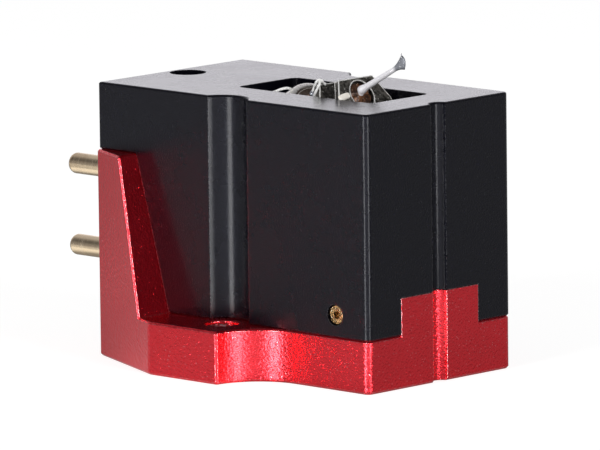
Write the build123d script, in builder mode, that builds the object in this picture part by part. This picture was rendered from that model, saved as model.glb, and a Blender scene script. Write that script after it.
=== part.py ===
# Moving-coil pickup cartridge, stylus upwards, standing on its mounting face.
# Millimetres. The origin is midway between the two mounting holes, on the mounting face.
# +X runs to the stylus end, +Y across the body and +Z up from the mounting face.
import os
from math import cos, radians, sin, tan

from build123d import *

os.makedirs("parts", exist_ok=True)

# Clearances
fit_gap = 0.03
press_gap = 0.01

# Mounting holes, on the half-inch pitch of every tonearm head
hole_pitch = 12.7
mount_hole_d = 1.95
mount_hole_chamfer = 0.08

# Anodised base: plate, ears, raked rear wall and front tongue
base_front = 10.43
base_rear = 9.94
plate_h = 2.94
rear_half_w = 5.88
ear_half_w = 8.67
ear_rear = 3.40
ear_front = 1.80
base_corner_r = 0.4
base_edge_chamfer = 0.12
base_edge_bevel = 0.1
wall_top = 11.60
wall_top_t = 2.89
wall_rake = 15.2
tongue_half_w = 3.07
tongue_top = 5.0
tongue_l = 3.8
groove_r = 0.57
groove_depth = 0.47

# Body cover
cover_rear = 9.87
cover_half_w = 5.72
cover_top = 15.35
cover_corner_r = 0.35
cover_edge_r = 0.12
cover_edge_bevel = 0.08
flute_r = 1.6
side_wall = 1.7
top_wall = 1.2
front_wall = 1.5
cavity_rear = 6.2
window_lead_gap = 0.36
window_front = 7.67
window_half_w = 2.35
window_corner_r = 0.5

# Screws that hold the cover: one each side into the tongue, one down into the rear wall
side_screw_inset = 2.46
side_screw_z = 4.16
side_screw_d = 1.02
side_screw_hole_d = 1.16
side_screw_l = 3.4
side_screw_sunk = 0.12
side_socket_r = 0.24
side_socket_depth = 0.8
rear_screw_x = -8.57
rear_screw_d = 1.15
rear_screw_l = 3.6
rear_screw_head_d = 1.8
rear_screw_head_h = 1.0
rear_screw_bore_d = 2.05
rear_screw_seat = 1.3
rear_socket_r = 0.5
rear_socket_depth = 0.6

# Contact pins in insulating bushes
pin_d = 1.18
pin_out = 5.0
pin_end_r = 0.32
pin_half_spacing = 2.75
pin_low_z = 5.38
pin_high_z = 9.99
pin_tail_d = 0.6
pin_tail_x = -4.4
bush_d = 1.9
bush_l = 2.6

# The stylus arm leaves the front yoke here, at this angle above the mounting face
arm_root_x = 4.73
arm_root_z = 15.41
arm_tilt = 31.0

# Iron frame of the generator, measured along the arm's axis and square to it
yoke_t = 0.35
yoke_l = 5.9
yoke_low = 2.6
yoke_half_w = 2.05
yoke_front_top = 0.92
yoke_top_half_w = 1.33
yoke_shoulder = -0.5
yoke_back_top = 1.85
yoke_bend_r = 0.3
opening_r = 0.85
opening_drop = 0.1

# Rear pole, ring magnet and the sleeve that anchors the suspension wire
pole_face = -1.4
pole_t = 0.45
pole_top = 1.35
pole_shoulder = 0.0
pole_low = 1.6
pole_neck_r = 1.1
magnet_face = -3.5
magnet_r = 2.1
magnet_chamfer = 0.12
sleeve_r = 0.55
sleeve_bore_r = 0.2
sleeve_out = 0.95
nut_across = 1.8
nut_t = 0.6
wire_r = 0.06
wire_front = -0.62
bead_r = 0.27

# Moving system
damper_back = -1.35
damper_front = -0.80
damper_r = 0.5
damper_bore_r = 0.2
core_back = -0.55
core_front = -0.2
core_hub_r = 0.3
core_arm_w = 0.22
core_arm_l = 1.24
core_bore_r = 0.2
coil_back = -0.7
coil_front = -0.05
coil_inner = 0.31
coil_outer = 0.56
coil_half_w = 0.25
coil_edge_r = 0.06
tube_back = -0.45
tube_spigot_r = 0.19
tube_shoulder = -0.02
tube_root_r = 0.24
tube_root_l = 0.3
tube_tip_r = 0.15
tube_bore_r = 0.1
tube_bore_end = 2.4
tube_l = 2.95
blade_l = 0.9
blade_half_h = 0.35
blade_half_t = 0.085
stylus_x = 7.74
stylus_point_z = 17.86
stylus_shank_r = 0.055
stylus_cone_h = 0.22
stylus_shank_l = 0.55
stylus_point_r = 0.012

# Carrier block that stands on the base and slopes to the arm's angle
carrier_rear = 0.55
carrier_tongue_gap = 0.43
carrier_half_w = 2.3
carrier_corner_r = 0.3
carrier_foot_h = 2.0
carrier_foot_half_w = 3.6
carrier_screw_spacing = 5.6
carrier_screw_d = 1.2
carrier_screw_l = 3.6
carrier_screw_head_d = 2.1
carrier_screw_head_h = 0.8
carrier_screw_sunk = 0.15
carrier_socket_r = 0.58
carrier_socket_depth = 0.5

# Solder strip behind the yoke, and the leads from it to the pins
strip_half_w = 1.45
strip_t = 0.6
strip_low = 1.12
strip_high = 1.8
lead_r = 0.13
lead_sides = 8
lead_spacing = 0.8
lead_in = 0.25
lead_loop_w = 0.54
lead_loop_h = 0.64
lead_run = 0.9
lead_bend_r = 0.24

arm_axis = Vector(cos(radians(arm_tilt)), 0, sin(radians(arm_tilt)))
arm_up = Vector(-sin(radians(arm_tilt)), 0, cos(radians(arm_tilt)))
arm_root = Vector(arm_root_x, 0, arm_root_z)
# Stations across the arm: local x is the body's Y, local y is up off the arm, local z runs to the stylus
arm_plane = Plane(origin=arm_root, x_dir=(0, 1, 0), z_dir=arm_axis)
# Side view of the arm: local x runs to the stylus and local y is up off the arm
arm_side = Plane(origin=arm_root, x_dir=arm_axis, z_dir=(0, -1, 0))


def wall_x(z):
    return -(base_rear - wall_top_t) + (wall_top - z) * tan(radians(wall_rake))


def arm_point(along, up, across=0.0):
    return arm_root + arm_axis * along + arm_up * up + Vector(0, across, 0)


# The side screws and the carrier keep their distance from the front face and the tongue behind it
side_screw_x = base_front - side_screw_inset
carrier_front = base_front - tongue_l - carrier_tongue_gap
carrier_x = (carrier_rear + carrier_front) / 2

# The leads rise in front of the window's rear edge and loop over into the strip's top
strip_top = arm_point(-yoke_l - strip_t / 2, strip_high)
lead_rise_x = strip_top.X - lead_loop_w
lead_apex_z = strip_top.Z + lead_loop_h
window_rear_x = lead_rise_x - lead_r - window_lead_gap

# Base: the plan outline carried to the wall's height, then cleared in front of the raked wall
cove_r = ear_half_w - cover_half_w
with BuildPart() as mount_base:
    with BuildSketch(Plane.XY) as plan:
        with BuildLine():
            Polyline(
                (-base_rear, 0),
                (-base_rear, rear_half_w),
                (-ear_rear, ear_half_w),
                (ear_front, ear_half_w),
            )
            CenterArc((ear_front + cove_r, ear_half_w), cove_r, 180, 90)
            Polyline((ear_front + cove_r, cover_half_w), (base_front, cover_half_w), (base_front, 0))
            mirror(about=Plane.XZ)
        make_face()
        fillet(plan.vertices().group_by(Axis.X)[-1], base_corner_r)
        chamfer(plan.vertices().group_by(Axis.X)[0], base_edge_bevel)
        chamfer(plan.vertices().group_by(Axis.Y)[0], base_edge_bevel)
        chamfer(plan.vertices().group_by(Axis.Y)[-1], base_edge_bevel)
    extrude(amount=wall_top)
    with BuildSketch(Plane.XZ):
        with BuildLine():
            Polyline(
                (wall_x(wall_top), wall_top),
                (wall_x(plate_h), plate_h),
                (base_front, plate_h),
                (base_front, wall_top),
                close=True,
            )
        make_face()
    extrude(amount=ear_half_w, both=True, mode=Mode.SUBTRACT)
    # Bevels on all level and slanting edges above the mounting face, but not in the wall's inner corner
    rims = mount_base.edges().filter_by(Axis.Z, reverse=True)
    rims = rims.filter_by(lambda rim: rim.center().Z > 0 and abs(rim.center().X - wall_x(plate_h)) > 1e-6)
    chamfer(rims, base_edge_bevel)
    with BuildSketch(Plane.XY.offset(plate_h - base_edge_bevel)):
        with Locations((base_front, 0)):
            Rectangle(tongue_l, 2 * tongue_half_w, align=(Align.MAX, Align.CENTER))
    extrude(amount=tongue_top - plate_h + base_edge_bevel)
    chamfer(mount_base.faces().sort_by(Axis.Z)[0].edges(), base_edge_chamfer)
    with BuildSketch(Plane.XY):
        with Locations((base_front + groove_r - groove_depth, 0)):
            Circle(groove_r)
    extrude(amount=tongue_top, mode=Mode.SUBTRACT)
    with Locations((0, hole_pitch / 2, plate_h), (0, -hole_pitch / 2, plate_h)):
        Hole(mount_hole_d / 2, depth=plate_h)
    rims = mount_base.edges().filter_by(GeomType.CIRCLE)
    chamfer(rims.filter_by(lambda rim: abs(rim.radius - mount_hole_d / 2) < 1e-6), mount_hole_chamfer)
    # Bores for the pin bushes, from the rear face through the wall
    pin_mid_z = (pin_low_z + pin_high_z) / 2
    with BuildSketch(Plane(origin=(-base_rear, 0, pin_mid_z), x_dir=(0, 1, 0), z_dir=(-1, 0, 0))):
        with GridLocations(2 * pin_half_spacing, pin_high_z - pin_low_z, 2, 2):
            Circle(bush_d / 2)
    extrude(amount=-(base_rear + pin_tail_x), mode=Mode.SUBTRACT)
    with Locations((rear_screw_x, 0, wall_top)):
        Hole(rear_screw_d / 2 + press_gap, depth=rear_screw_l - rear_screw_seat + 2 * press_gap)
    with BuildSketch(Plane.XZ):
        with Locations((side_screw_x, side_screw_z)):
            Circle(side_screw_d / 2 + press_gap)
    extrude(amount=tongue_half_w, both=True, mode=Mode.SUBTRACT)
    # Counterbores for the carrier's screws, from the mounting face
    with Locations(Plane(origin=(carrier_x, 0, 0), x_dir=(1, 0, 0), z_dir=(0, 0, -1))):
        with GridLocations(1, carrier_screw_spacing, 1, 2):
            CounterBoreHole(
                carrier_screw_d / 2 + fit_gap,
                carrier_screw_head_d / 2 + fit_gap,
                carrier_screw_sunk + carrier_screw_head_h,
                depth=plate_h,
            )
mount_base.part.label = "mount_base"
export_step(mount_base.part, "parts/mount_base.step")

# Cover: one moulded shell, open below, with a window in its top and an overhang on the rear wall
with BuildPart() as body_cover:
    with BuildSketch(Plane.XZ):
        with BuildLine():
            Polyline(
                (-cover_rear, wall_top),
                (-cover_rear, cover_top),
                (base_front, cover_top),
                (base_front, plate_h),
                (wall_x(plate_h), plate_h),
                (wall_x(wall_top), wall_top),
                close=True,
            )
        make_face()
    extrude(amount=cover_half_w, both=True)
    fillet(body_cover.edges().filter_by(Axis.Z).group_by(Axis.X)[-1], cover_corner_r)
    with BuildSketch(Plane.XY.offset(plate_h)):
        with GridLocations(1, hole_pitch, 1, 2):
            Circle(flute_r)
        with Locations((base_front + groove_r - groove_depth, 0)):
            Circle(groove_r)
    extrude(amount=cover_top - plate_h, mode=Mode.SUBTRACT)
    fillet(body_cover.faces().sort_by(Axis.Z)[-1].edges(), cover_edge_r)
    # Bevels on the lower outer edges, also under the overhang, but not along the raked joint
    rims = body_cover.edges().filter_by(Axis.Z, reverse=True)
    rims = rims.filter_by(lambda rim: rim.center().Z < wall_top + 1e-6)
    rims = rims.filter_by(lambda rim: abs(rim.center().X - wall_x(rim.center().Z)) > 1e-6)
    chamfer(rims, cover_edge_bevel)
    with BuildSketch(Plane.XZ):
        with BuildLine():
            Polyline(
                (-cavity_rear, cover_top - top_wall),
                (base_front - front_wall, cover_top - top_wall),
                (base_front - front_wall, plate_h),
                (wall_x(plate_h), plate_h),
                (wall_x(wall_top), wall_top),
                (-cavity_rear, wall_top),
                close=True,
            )
        make_face()
    extrude(amount=cover_half_w - side_wall, both=True, mode=Mode.SUBTRACT)
    with BuildSketch(Plane.XY.offset(cover_top)):
        with Locations(((window_front + window_rear_x) / 2, 0)):
            RectangleRounded(window_front - window_rear_x, 2 * window_half_w, window_corner_r)
    extrude(amount=-top_wall, mode=Mode.SUBTRACT)
    with BuildSketch(Plane.XY.offset(plate_h)):
        with Locations((base_front, 0)):
            Rectangle(2 * tongue_l, 2 * (tongue_half_w + fit_gap))
    extrude(amount=tongue_top - plate_h + fit_gap, mode=Mode.SUBTRACT)
    with BuildSketch(Plane.XZ):
        with Locations((side_screw_x, side_screw_z)):
            Circle(side_screw_hole_d / 2)
    extrude(amount=cover_half_w, both=True, mode=Mode.SUBTRACT)
    with Locations((rear_screw_x, 0, cover_top)):
        CounterBoreHole(
            rear_screw_d / 2 + fit_gap,
            rear_screw_bore_d / 2,
            cover_top - wall_top - rear_screw_seat,
            depth=cover_top - wall_top,
        )
body_cover.part.label = "body_cover"
export_step(body_cover.part, "parts/body_cover.step")

# Socket set screws through the cover's sides into the tongue
with BuildPart() as cover_side_screws:
    for side in (1, -1):
        face = Plane(
            origin=(side_screw_x, side * (cover_half_w - side_screw_sunk), side_screw_z),
            x_dir=(1, 0, 0),
            z_dir=(0, side, 0),
        )
        with BuildSketch(face):
            Circle(side_screw_d / 2)
        extrude(amount=-side_screw_l)
        with BuildSketch(face):
            RegularPolygon(side_socket_r, 6)
        extrude(amount=-side_socket_depth, mode=Mode.SUBTRACT)
cover_side_screws.part.label = "cover_side_screws"
export_step(cover_side_screws.part, "parts/cover_side_screws.step")

# Cap screw down through the cover's overhang into the rear wall
with BuildPart() as cover_rear_screw:
    seat = Plane.XY.offset(wall_top + rear_screw_seat).move(Location((rear_screw_x, 0, 0)))
    with BuildSketch(seat):
        Circle(rear_screw_d / 2)
    extrude(amount=-rear_screw_l)
    with BuildSketch(seat):
        Circle(rear_screw_head_d / 2)
    extrude(amount=rear_screw_head_h)
    with BuildSketch(seat.offset(rear_screw_head_h)):
        RegularPolygon(rear_socket_r, 6)
    extrude(amount=-rear_socket_depth, mode=Mode.SUBTRACT)
cover_rear_screw.part.label = "cover_rear_screw"
export_step(cover_rear_screw.part, "parts/cover_rear_screw.step")

# Insulating bushes, flush with the rear face
with BuildPart() as pin_bushes:
    with BuildSketch(Plane(origin=(-base_rear, 0, pin_mid_z), x_dir=(0, 1, 0), z_dir=(-1, 0, 0))):
        with GridLocations(2 * pin_half_spacing, pin_high_z - pin_low_z, 2, 2):
            Circle(bush_d / 2 - press_gap)
            Circle(pin_tail_d / 2 + press_gap, mode=Mode.SUBTRACT)
    extrude(amount=-bush_l)
pin_bushes.part.label = "pin_bushes"
export_step(pin_bushes.part, "parts/pin_bushes.step")


# Contact pins: rounded outer end seated on the bush, thin tail through it to the lead
def contact_pin(name, y, z):
    with BuildPart() as pin:
        with BuildSketch(Plane(origin=(0, y, z), x_dir=(1, 0, 0), z_dir=(0, -1, 0))) as profile:
            with BuildLine():
                Polyline(
                    (-base_rear - pin_out, 0),
                    (-base_rear - pin_out, pin_d / 2),
                    (-base_rear, pin_d / 2),
                    (-base_rear, pin_tail_d / 2),
                    (pin_tail_x, pin_tail_d / 2),
                    (pin_tail_x, 0),
                    close=True,
                )
            make_face()
            fillet(profile.vertices().group_by(Axis.X)[0].sort_by(Axis.Y)[-1], pin_end_r)
        revolve(axis=Axis((0, y, z), (1, 0, 0)))
    pin.part.label = name
    export_step(pin.part, f"parts/{name}.step")


contact_pin("pin_left_signal", -pin_half_spacing, pin_high_z)
contact_pin("pin_left_ground", -pin_half_spacing, pin_low_z)
contact_pin("pin_right_signal", pin_half_spacing, pin_high_z)
contact_pin("pin_right_ground", pin_half_spacing, pin_low_z)

# Carrier: foot on the base plate, post under the yoke with its top at the arm's angle
seat_front = arm_point(0, -yoke_low)


def seat_z(x):
    return seat_front.Z + (x - seat_front.X) * tan(radians(arm_tilt))


with BuildPart() as generator_carrier:
    with BuildSketch(Plane.XZ):
        with BuildLine():
            Polyline(
                (carrier_rear, plate_h),
                (carrier_rear, seat_z(carrier_rear)),
                (carrier_front, seat_z(carrier_front)),
                (carrier_front, plate_h),
                close=True,
            )
        make_face()
    extrude(amount=carrier_half_w, both=True)
    with BuildSketch(Plane.XY.offset(plate_h)):
        with Locations((carrier_x, 0)):
            Rectangle(carrier_front - carrier_rear, 2 * carrier_foot_half_w)
    extrude(amount=carrier_foot_h)
    fillet(generator_carrier.edges().filter_by(Axis.Z), carrier_corner_r)
    with Locations(Plane(origin=(carrier_x, 0, plate_h), x_dir=(1, 0, 0), z_dir=(0, 0, -1))):
        with GridLocations(1, carrier_screw_spacing, 1, 2):
            Hole(carrier_screw_d / 2 + press_gap, depth=carrier_foot_h)
generator_carrier.part.label = "generator_carrier"
export_step(generator_carrier.part, "parts/generator_carrier.step")

# Cap screws up through the base plate into the carrier's foot
with BuildPart() as carrier_screws:
    for side in (1, -1):
        seat = Plane(
            origin=(carrier_x, side * carrier_screw_spacing / 2, carrier_screw_sunk),
            x_dir=(1, 0, 0),
            z_dir=(0, 0, 1),
        )
        with BuildSketch(seat):
            Circle(carrier_screw_head_d / 2)
        extrude(amount=carrier_screw_head_h)
        with BuildSketch(seat.offset(carrier_screw_head_h)):
            Circle(carrier_screw_d / 2)
        extrude(amount=carrier_screw_l)
        with BuildSketch(seat):
            RegularPolygon(carrier_socket_r, 6)
        extrude(amount=carrier_socket_depth, mode=Mode.SUBTRACT)
carrier_screws.part.label = "carrier_screws"
export_step(carrier_screws.part, "parts/carrier_screws.step")

# Yoke: one strip of iron folded to a channel, with tapering shoulders and a round opening in front
with BuildPart() as yoke_frame:
    with BuildSketch(arm_side) as channel:
        with BuildLine():
            Polyline(
                (0, yoke_front_top),
                (0, -yoke_low),
                (-yoke_l, -yoke_low),
                (-yoke_l, yoke_back_top),
                (yoke_t - yoke_l, yoke_back_top),
                (yoke_t - yoke_l, yoke_t - yoke_low),
                (-yoke_t, yoke_t - yoke_low),
                (-yoke_t, yoke_front_top),
                close=True,
            )
        make_face()
        fillet(channel.vertices().group_by(Axis.Y)[0], yoke_bend_r)
    extrude(amount=yoke_half_w, both=True)
    with BuildSketch(arm_plane):
        with BuildLine():
            Polyline(
                (yoke_top_half_w, yoke_front_top),
                (yoke_half_w, yoke_shoulder),
                (yoke_half_w, yoke_front_top),
                close=True,
            )
        make_face()
        mirror(about=Plane.YZ)
        with Locations((0, -opening_drop)):
            Circle(opening_r)
    extrude(amount=-yoke_t, mode=Mode.SUBTRACT)
    with BuildSketch(arm_plane.offset(-yoke_l)):
        Circle(sleeve_r + press_gap)
    extrude(amount=yoke_t, mode=Mode.SUBTRACT)
yoke_frame.part.label = "yoke_frame"
export_step(yoke_frame.part, "parts/yoke_frame.step")

# Rear pole: shouldered plate behind the coils, on a round neck that meets the magnet
with BuildPart() as rear_pole:
    with BuildSketch(arm_plane.offset(pole_face)):
        with BuildLine():
            Polyline(
                (-yoke_top_half_w, pole_top),
                (yoke_top_half_w, pole_top),
                (yoke_half_w, pole_shoulder),
                (yoke_half_w, -pole_low),
                (-yoke_half_w, -pole_low),
                (-yoke_half_w, pole_shoulder),
                close=True,
            )
        make_face()
    extrude(amount=-pole_t)
    with BuildSketch(arm_plane.offset(magnet_face)):
        Circle(pole_neck_r)
    extrude(amount=pole_face - pole_t - magnet_face)
    with BuildSketch(arm_plane.offset(magnet_face)):
        Circle(sleeve_r + press_gap)
    extrude(amount=pole_face - magnet_face, mode=Mode.SUBTRACT)
rear_pole.part.label = "rear_pole"
export_step(rear_pole.part, "parts/rear_pole.step")

# Ring magnet between the pole's neck and the yoke's back
with BuildPart() as ring_magnet:
    with BuildSketch(arm_plane.offset(magnet_face)):
        Circle(magnet_r)
        Circle(sleeve_r + fit_gap, mode=Mode.SUBTRACT)
    extrude(amount=yoke_t - yoke_l - magnet_face)
    rims = ring_magnet.edges().filter_by(GeomType.CIRCLE)
    chamfer(rims.filter_by(lambda rim: abs(rim.radius - magnet_r) < 1e-6), magnet_chamfer)
ring_magnet.part.label = "ring_magnet"
export_step(ring_magnet.part, "parts/ring_magnet.step")

# Sleeve through pole, magnet and yoke, held by a nut behind
sleeve_end = -yoke_l - sleeve_out
with BuildPart() as wire_sleeve:
    with BuildSketch(arm_plane.offset(sleeve_end)):
        Circle(sleeve_r)
        Circle(sleeve_bore_r, mode=Mode.SUBTRACT)
    extrude(amount=pole_face - sleeve_end)
wire_sleeve.part.label = "wire_sleeve"
export_step(wire_sleeve.part, "parts/wire_sleeve.step")

with BuildPart() as sleeve_nut:
    with BuildSketch(arm_plane.offset(-yoke_l)):
        RegularPolygon(nut_across / 2, 6, major_radius=False)
        Circle(sleeve_r + press_gap, mode=Mode.SUBTRACT)
    extrude(amount=-nut_t)
sleeve_nut.part.label = "sleeve_nut"
export_step(sleeve_nut.part, "parts/sleeve_nut.step")

# Suspension wire, stopped by a solder bead on the sleeve's rear end
with BuildPart() as suspension_wire:
    with BuildSketch(arm_plane.offset(sleeve_end)):
        Circle(wire_r)
    extrude(amount=wire_front - sleeve_end)
    with BuildSketch(arm_side):
        with BuildLine():
            CenterArc((sleeve_end, 0), bead_r, 90, 90)
            Polyline((sleeve_end - bead_r, 0), (sleeve_end, 0), (sleeve_end, bead_r))
        make_face()
    revolve(axis=Axis(arm_root, arm_axis))
suspension_wire.part.label = "suspension_wire"
export_step(suspension_wire.part, "parts/suspension_wire.step")

# Damper: rubber ring in which the arm rocks
with BuildPart() as damper:
    with BuildSketch(arm_plane.offset(damper_back)):
        Circle(damper_r)
        Circle(damper_bore_r, mode=Mode.SUBTRACT)
    extrude(amount=damper_front - damper_back)
damper.part.label = "damper"
export_step(damper.part, "parts/damper.step")

# Armature: cross-shaped core with a coil on each limb, one channel on each diagonal
with BuildPart() as armature_core:
    with BuildSketch(arm_plane.offset(core_back)):
        Circle(core_hub_r)
        Rectangle(core_arm_l, core_arm_w, rotation=45)
        Rectangle(core_arm_l, core_arm_w, rotation=-45)
        Circle(core_bore_r, mode=Mode.SUBTRACT)
    extrude(amount=core_front - core_back)
armature_core.part.label = "armature_core"
export_step(armature_core.part, "parts/armature_core.step")


def coil_pair(name, angle):
    with BuildPart() as coils:
        with BuildSketch(arm_plane.offset(coil_back)):
            with PolarLocations((coil_inner + coil_outer) / 2, 2, start_angle=angle):
                Rectangle(coil_outer - coil_inner, 2 * coil_half_w)
        extrude(amount=coil_front - coil_back)
        fillet(coils.edges().filter_by(Axis(arm_root, arm_axis)), coil_edge_r)
        with BuildSketch(arm_plane.offset(core_back - press_gap)):
            Rectangle(core_arm_l, core_arm_w + 2 * press_gap, rotation=angle)
        extrude(amount=core_front - core_back + 2 * press_gap, mode=Mode.SUBTRACT)
    coils.part.label = name
    export_step(coils.part, f"parts/{name}.step")


coil_pair("coil_left", 45)
coil_pair("coil_right", -45)

# Cantilever: tapered tube with a stepped root, its end pressed to an upright round paddle
with BuildPart() as cantilever:
    with BuildSketch(arm_side):
        with BuildLine():
            Polyline(
                (tube_back, tube_bore_r),
                (tube_back, tube_spigot_r),
                (tube_shoulder, tube_spigot_r),
                (tube_shoulder, tube_root_r),
                (tube_root_l, tube_root_r),
                (tube_l, tube_tip_r),
                (tube_l, 0),
                (tube_bore_end, 0),
                (tube_bore_end, tube_bore_r),
                close=True,
            )
        make_face()
    revolve(axis=Axis(arm_root, arm_axis))
    with BuildSketch(arm_side):
        with Locations((tube_l, 0)):
            Circle(tube_tip_r)
        with Locations((tube_l + blade_l - blade_half_h, 0)):
            Circle(blade_half_h)
        make_hull()
    extrude(amount=blade_half_t, both=True)
    stylus_foot_z = stylus_point_z - stylus_cone_h - stylus_shank_l
    with BuildSketch(Plane.XY.offset(stylus_foot_z)):
        with Locations((stylus_x, 0)):
            Circle(stylus_shank_r + press_gap)
    extrude(amount=stylus_shank_l + stylus_cone_h, mode=Mode.SUBTRACT)
cantilever.part.label = "cantilever"
export_step(cantilever.part, "parts/cantilever.step")

# Stylus: upright diamond shank with a ground point
with BuildPart() as stylus:
    with BuildSketch(Plane.XZ):
        with BuildLine():
            Polyline(
                (stylus_x, stylus_foot_z),
                (stylus_x + stylus_shank_r, stylus_foot_z),
                (stylus_x + stylus_shank_r, stylus_foot_z + stylus_shank_l),
                (stylus_x + stylus_point_r, stylus_point_z),
                (stylus_x, stylus_point_z),
                close=True,
            )
        make_face()
    revolve(axis=Axis((stylus_x, 0, 0), (0, 0, 1)))
stylus.part.label = "stylus"
export_step(stylus.part, "parts/stylus.step")

# Solder strip on the back of the yoke, above the nut, with upright holes for the leads
with BuildPart() as solder_strip:
    with BuildSketch(arm_plane.offset(-yoke_l)):
        with Locations((0, (strip_low + strip_high) / 2)):
            Rectangle(2 * strip_half_w, strip_high - strip_low)
    extrude(amount=-strip_t)
    with BuildSketch(Plane.XY.offset(strip_top.Z - lead_in)):
        with Locations((strip_top.X, 0)):
            with GridLocations(1, lead_spacing, 1, 4):
                Circle(lead_r + press_gap)
    extrude(amount=lead_in + strip_t, mode=Mode.SUBTRACT)
solder_strip.part.label = "solder_strip"
export_step(solder_strip.part, "parts/solder_strip.step")


# Leads: from each pin's tail up to a loop in the window, then down into the strip
def pin_lead(name, y_pin, z_pin, y_strip):
    with BuildPart() as lead:
        with BuildLine() as route:
            FilletPolyline(
                (pin_tail_x, y_pin, z_pin),
                (pin_tail_x + lead_run, y_pin, z_pin),
                (lead_rise_x, y_strip, lead_apex_z - 2 * lead_run),
                (lead_rise_x, y_strip, lead_apex_z),
                (strip_top.X, y_strip, lead_apex_z),
                (strip_top.X, y_strip, strip_top.Z - lead_in),
                radius=lead_bend_r,
            )
        with BuildSketch(Plane(origin=route.line @ 0, z_dir=route.line % 0)):
            RegularPolygon(lead_r, lead_sides)
        sweep()
    lead.part.label = name
    export_step(lead.part, f"parts/{name}.step")


pin_lead("lead_left_signal", -pin_half_spacing, pin_high_z, -1.5 * lead_spacing)
pin_lead("lead_left_ground", -pin_half_spacing, pin_low_z, -0.5 * lead_spacing)
pin_lead("lead_right_signal", pin_half_spacing, pin_high_z, 1.5 * lead_spacing)
pin_lead("lead_right_ground", pin_half_spacing, pin_low_z, 0.5 * lead_spacing)
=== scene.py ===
import math

import bmesh
import bpy
import numpy as np
from mathutils import Matrix, Vector


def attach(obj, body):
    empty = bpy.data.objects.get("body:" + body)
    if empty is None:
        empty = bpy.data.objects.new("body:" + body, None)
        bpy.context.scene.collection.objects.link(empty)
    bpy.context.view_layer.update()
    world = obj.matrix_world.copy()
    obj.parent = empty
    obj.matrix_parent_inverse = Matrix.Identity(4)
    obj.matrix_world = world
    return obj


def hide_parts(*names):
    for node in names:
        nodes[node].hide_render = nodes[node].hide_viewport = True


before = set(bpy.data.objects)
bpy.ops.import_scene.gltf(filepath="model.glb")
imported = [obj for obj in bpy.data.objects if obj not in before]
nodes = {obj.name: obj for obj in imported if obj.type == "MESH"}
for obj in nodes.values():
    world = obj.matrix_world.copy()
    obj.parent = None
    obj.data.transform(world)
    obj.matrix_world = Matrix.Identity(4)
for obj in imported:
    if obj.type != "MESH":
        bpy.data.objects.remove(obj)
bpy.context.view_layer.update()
mm = 0.001
print("frame loaded:", len(nodes), "nodes")


# a long lens a little above the plate, turned towards the near front corner
camera = {"place": (351.898, -367.065, 88.579), "azimuth": 43.797, "elevation": 9.048,
          "roll": -0.712, "lens": 559.52, "sensor": 36.0, "clip": (0.01, 20.0)}


def aimCamera(view):
    turn, lift, roll = (math.radians(view[k]) for k in ("azimuth", "elevation", "roll"))
    back = Vector((math.sin(turn) * math.cos(lift), -math.cos(turn) * math.cos(lift), math.sin(lift)))
    level = Vector((math.cos(turn), math.sin(turn), 0.0))
    upright = back.cross(level)
    right = math.cos(roll) * level + math.sin(roll) * upright
    top = math.cos(roll) * upright - math.sin(roll) * level
    eye = bpy.data.objects.new("viewCamera", bpy.data.cameras.new("viewCamera"))
    bpy.context.scene.collection.objects.link(eye)
    turned = Matrix((right, top, back)).transposed().to_4x4()
    eye.matrix_world = Matrix.Translation(Vector(view["place"]) * mm) @ turned
    eye.data.sensor_fit = "HORIZONTAL"
    eye.data.sensor_width = view["sensor"]
    eye.data.lens = view["lens"]
    eye.data.clip_start, eye.data.clip_end = view["clip"]
    bpy.context.scene.camera = eye


aimCamera(camera)
print("camera set")


def put(tree, socket, value):
    # a socket feeds the input, anything else is set on it
    if isinstance(value, bpy.types.NodeSocket):
        tree.links.new(value, socket)
    else:
        socket.default_value = value


def addNode(tree, kind, **inputs):
    node = tree.nodes.new(kind)
    for key, value in inputs.items():
        put(tree, node.inputs[key.replace("_", " ")], value)
    return node


def calc(tree, operation, *values):
    node = tree.nodes.new("ShaderNodeMath")
    node.operation = operation
    for socket, value in zip(node.inputs, values):
        put(tree, socket, value)
    return node.outputs[0]


def spread(tree, value, low, high, toLow, toHigh):
    # smooth step of a value from one range to another
    node = addNode(tree, "ShaderNodeMapRange", Value=value, From_Min=low, From_Max=high,
                   To_Min=toLow, To_Max=toHigh)
    node.interpolation_type = "SMOOTHSTEP"
    return node.outputs["Result"]


def blend(tree, kind, factor, first, second):
    node = tree.nodes.new("ShaderNodeMix")
    node.data_type = kind
    for key, value in {"Factor": factor, "A": first, "B": second}.items():
        put(tree, node.inputs[key], value)
    return node.outputs["Result"]


def blendColour(tree, factor, first, second):
    return blend(tree, "RGBA", factor, first, second)


def noise(tree, place, scale, detail=2.0, rough=0.5):
    node = addNode(tree, "ShaderNodeTexNoise", Vector=place, Scale=scale, Detail=detail, Roughness=rough)
    return node.outputs["Fac"]


def stretched(tree, place, scale, turn=(0.0, 0.0, 0.0)):
    # the same coordinates, drawn out along an axis
    return addNode(tree, "ShaderNodeMapping", Vector=place, Scale=scale, Rotation=turn).outputs["Vector"]


# stage: white surround, pale floor, and soft boxes in front and at the stylus end
surround = {"ambient": 0.32, "ceiling": 0.10, "ceilingBehind": 0.5, "behindFrom": (0.2, 0.6),
            "horizonTop": (0.32, 0.52), "falloff": 4.0, "violet": (0.965, 0.945, 1.0, 1)}
# how white the horizon is that gloss sees: behind the part, at its rear left, at its far right,
# and on the camera's side
horizon = {"behind": 1.22, "rearLeft": 0.27, "farRight": 0.20, "viewer": 1.0}
diagonal = 0.7071  # cosine of 45 degrees
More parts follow.
